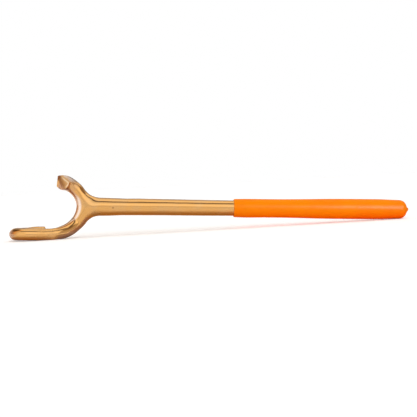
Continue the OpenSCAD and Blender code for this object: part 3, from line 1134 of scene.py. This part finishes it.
def light_studio(scene):
    """A soft studio whose lamps all run along the wrench."""
    world = bpy.data.worlds.new("studio")
    scene.world = world
    world.use_nodes = True
    tree = world.node_tree
    tree.nodes.clear()
    way = add(tree, "ShaderNodeTexCoord").outputs["Generated"]
    x, y, z = split(tree, way)
    angle = math_node(tree, "ARCTAN2", z, product(tree, y, -1.0))
    swing = product(
        tree,
        math_node(tree, "MAXIMUM", x, product(tree, x, LEFT_SWING)),
        LAMP_SWING,
        product(tree, smooth_range(tree, y, *SWING_Y), smooth_range(tree, z, *SWING_Z)),
    )
    angle = math_node(tree, "ADD", swing, angle)
    share = math_node(tree, "MULTIPLY_ADD", angle, 0.5 / math.pi, 0.5)
    colour = level_ramp(tree, share, [(turn / 360 + 0.5, level) for turn, level in LAMP_LEVELS])
    at_right = smooth_range(tree, x, *RIGHT_WALL_FROM)
    colour = mixed(tree, at_right, colour, wall_ramp(tree, z, RIGHT_WALL_LEVELS))
    above = product(tree, smooth_range(tree, y, *OVER_WALL_Y), smooth_range(tree, z, *OVER_WALL_Z))
    below = math_node(tree, "SUBTRACT", 1.0, above)
    at_left = product(tree, smooth_range(tree, x, *LEFT_WALL_FROM), below)
    colour = mixed(tree, at_left, colour, wall_ramp(tree, y, LEFT_WALL_LEVELS))
    to_screen = vector_node(tree, "DOT_PRODUCT", way, SCREEN_WAY)["Value"]
    at_screen = smooth_range(tree, to_screen, *SCREEN_EDGE)
    colour = mixed(tree, at_screen, colour, wall_colour(SCREEN_LEVEL))
    rays = add(tree, "ShaderNodeLightPath").outputs
    seen = math_node(tree, "ADD", rays["Is Glossy Ray"], rays["Is Transmission Ray"])
    seen = product(tree, seen, smooth_range(tree, y, *BACKDROP_FROM))
    seen = math_node(tree, "MAXIMUM", seen, rays["Is Camera Ray"])
    colour = mixed(tree, seen, colour, wall_colour(BACKDROP_LEVEL))
    light = add(tree, "ShaderNodeBackground", {"Color": colour, "Strength": STUDIO_MOST})
    add(tree, "ShaderNodeOutputWorld", {"Surface": light.outputs[0]})


def rest_plane():
    """The upward normal of the surface under the three feet, and its height along that normal."""
    pieces = (bpy.data.objects["bronze_forging"], bpy.data.objects["dipped_sleeve"])
    points = [point.co for piece in pieces for point in piece.data.vertices]
    way = Vector((0, 0, 1))
    for _ in range(3):
        near, far, end = (min(filter(foot, points), key=way.dot) for foot in FEET)
        way = (end - near).cross(far - near).normalized()
    return way, min(way.dot(point) for point in points)


def lay_sheet(name, plane, middle_y, width, depth, rise, material):
    """A flat sheet on the surface that carries the wrench."""
    bpy.ops.object.select_all(action="DESELECT")
    bpy.ops.mesh.primitive_plane_add(size=1)
    sheet = bpy.context.object
    sheet.name = name
    sheet.data.name = name
    way, height = plane
    sheet.data.transform(
        Vector((0, 0, 1)).rotation_difference(way).to_matrix().to_4x4()
        @ Matrix.Translation((STAGE_MIDDLE_X, middle_y, height + rise))
        @ Matrix.Diagonal((width, depth, 1, 1))
    )
    sheet.data.materials.append(material)
    return sheet


def floor_material(colours):
    """Pale floor that the camera and the metal see as white, with the wrench's shadow."""
    material, tree, shader, _ = new_material("pale_floor")
    shader.inputs["Base Color"].default_value = tuple(colours.floor)
    shader.inputs["Roughness"].default_value = 0.8
    shader.inputs["Specular IOR Level"].default_value = 0.1
    shader.inputs["Emission Color"].default_value = (1.0, 1.0, 1.0, 1.0)
    rays = add(tree, "ShaderNodeLightPath").outputs
    seen = math_node(tree, "ADD", rays["Is Camera Ray"], rays["Is Glossy Ray"])
    seen = math_node(tree, "ADD", seen, rays["Is Transmission Ray"])
    feed(tree, shader, {"Emission Strength": product(tree, seen, FLOOR_LIFT)})
    return material


def shade_board_material(colours):
    """A hidden sheet of painted shade under and beside the wrench, which the metal mirrors, with a
    painted orange bounce beside the grip; it fades out to the front and hides nothing from below.
    """
    material, tree, shader, place = new_material("brown_shade_board")
    shader.inputs["Roughness"].default_value = 0.9
    shader.inputs["Specular IOR Level"].default_value = 0.1
    x, y, _ = split(tree, place)
    under_hub = smooth_range(tree, x, *HUB_TINT_X)
    # A painted orange bounce from the grip beside it
    by_grip = product(
        tree,
        smooth_range(tree, x, *GRIP_TINT_FROM_X),
        product(tree, smooth_range(tree, y, *GRIP_TINT_Y), smooth_range(tree, x, *GRIP_TINT_TO_X)),
    )
    tint = mixed(tree, under_hub, tuple(colours.shade_board), tuple(colours.fork_shade))
    tint = mixed(tree, by_grip, tint, tuple(colours.grip))
    near = smooth_range(tree, y, BOARD_FRONT - BOARD_FADE, BOARD_FRONT + BOARD_FADE)
    cover = product(tree, near, smooth_range(tree, x, *BOARD_START))
    flat = add(tree, "ShaderNodeCombineXYZ", {"X": x, "Y": y}).outputs[0]
    for foot, radius, fade, share in (ARM_FOOT, LEFT_FOOT, HOOK_FOOT):
        gap = vector_node(tree, "DISTANCE", flat, foot)["Value"]
        by_foot = smooth_range(tree, gap, radius + fade, radius)
        cover = math_node(tree, "MAXIMUM", cover, product(tree, by_foot, share))
    # Darker painted shade under the hook
    tint = mixed(tree, by_foot, tint, tuple(colours.hook_shade))
    back = add(tree, "ShaderNodeNewGeometry").outputs["Backfacing"]
    cover = product(tree, cover, math_node(tree, "SUBTRACT", 1.0, back))
    feed(tree, shader, {"Base Color": tint, "Alpha": cover})
    return material


def hang_softbox(lit_piece):
    """A soft lamp that lights one piece alone, and only its gloss."""
    light = bpy.data.lights.new("grip_softbox", "AREA")
    light.shape = "RECTANGLE"
    light.size, light.size_y = SOFTBOX_WIDTH, SOFTBOX_HEIGHT
    light.energy = SOFTBOX_POWER
    lamp = bpy.data.objects.new("grip_softbox", light)
    bpy.context.collection.objects.link(lamp)
    lamp.location = SOFTBOX_PLACE
    lamp.rotation_mode = "QUATERNION"
    lamp.rotation_quaternion = (SOFTBOX_TARGET - SOFTBOX_PLACE).to_track_quat("-Z", "Y")
    lamp.visible_diffuse = False
    lit = bpy.data.collections.new("lit_by_softbox")
    lit.objects.link(lit_piece)
    lamp.light_linking.receiver_collection = lit


def set_camera(scene):
    """The photograph's camera, as the scene's own."""
    camera = bpy.data.cameras.new("photo_camera")
    camera.sensor_width = CAMERA_SENSOR
    camera.lens = CAMERA_SENSOR * CAMERA_DISTANCE / PICTURE_WIDTH
    holder = bpy.data.objects.new("photo_camera", camera)
    bpy.context.collection.objects.link(holder)
    look = Vector(
        (
            math.sin(CAMERA_YAW) * math.cos(CAMERA_TILT),
            math.cos(CAMERA_YAW) * math.cos(CAMERA_TILT),
            -math.sin(CAMERA_TILT),
        )
    )
    holder.matrix_world = (
        Matrix.Translation(CAMERA_TARGET - look * CAMERA_DISTANCE)
        @ look.to_track_quat("-Z", "Y").to_matrix().to_4x4()
        @ Matrix.Rotation(CAMERA_ROLL, 4, "Z")
    )
    scene.camera = holder


class WRENCH_OT_set_stage(bpy.types.Operator):
    """Sets the floor, the studio light and the photograph's camera"""

    bl_idname = "wrench.set_stage"
    bl_label = "Set Stage"

    def execute(self, context):
        colours = context.scene.wrench_colours
        context.scene.view_settings.view_transform = "Standard"
        light_studio(context.scene)
        plane = rest_plane()
        lay_sheet("floor", plane, *FLOOR, floor_material(colours))
        # A hidden sheet of painted shade, which the metal mirrors
        shade_board = lay_sheet("shade_board", plane, *BOARD, shade_board_material(colours))
        shade_board.visible_camera = False
        hang_softbox(bpy.data.objects["dipped_sleeve"])
        set_camera(context.scene)
        return {"FINISHED"}


class WRENCH_PT_panel(bpy.types.Panel):
    """Lists the wrench's pieces, sizes and colours"""

    bl_idname = "WRENCH_PT_panel"
    bl_label = "Fire Hydrant Wrench"
    bl_space_type = "VIEW_3D"
    bl_region_type = "UI"
    bl_category = "Wrench"

    def draw(self, context):
        layout = self.layout
        for group in (context.scene.wrench_sizes, context.scene.wrench_colours):
            for name in group.__annotations__:
                layout.prop(group, name)
        for operator in OPERATORS:
            layout.operator(operator.bl_idname)


OPERATORS = (WRENCH_OT_forge_body, WRENCH_OT_dip_grip, WRENCH_OT_set_stage)
CLASSES = (WrenchSizes, WrenchColours, *OPERATORS, WRENCH_PT_panel)


def register():
    for cls in CLASSES:
        bpy.utils.register_class(cls)
    bpy.types.Scene.wrench_sizes = PointerProperty(type=WrenchSizes)
    bpy.types.Scene.wrench_colours = PointerProperty(type=WrenchColours)


def unregister():
    del bpy.types.Scene.wrench_colours
    del bpy.types.Scene.wrench_sizes
    for cls in reversed(CLASSES):
        bpy.utils.unregister_class(cls)


def main():
    register()
    bpy.ops.wrench.forge_body()
    bpy.ops.wrench.dip_grip()
    bpy.ops.wrench.set_stage()


if __name__ == "__main__":
    main()
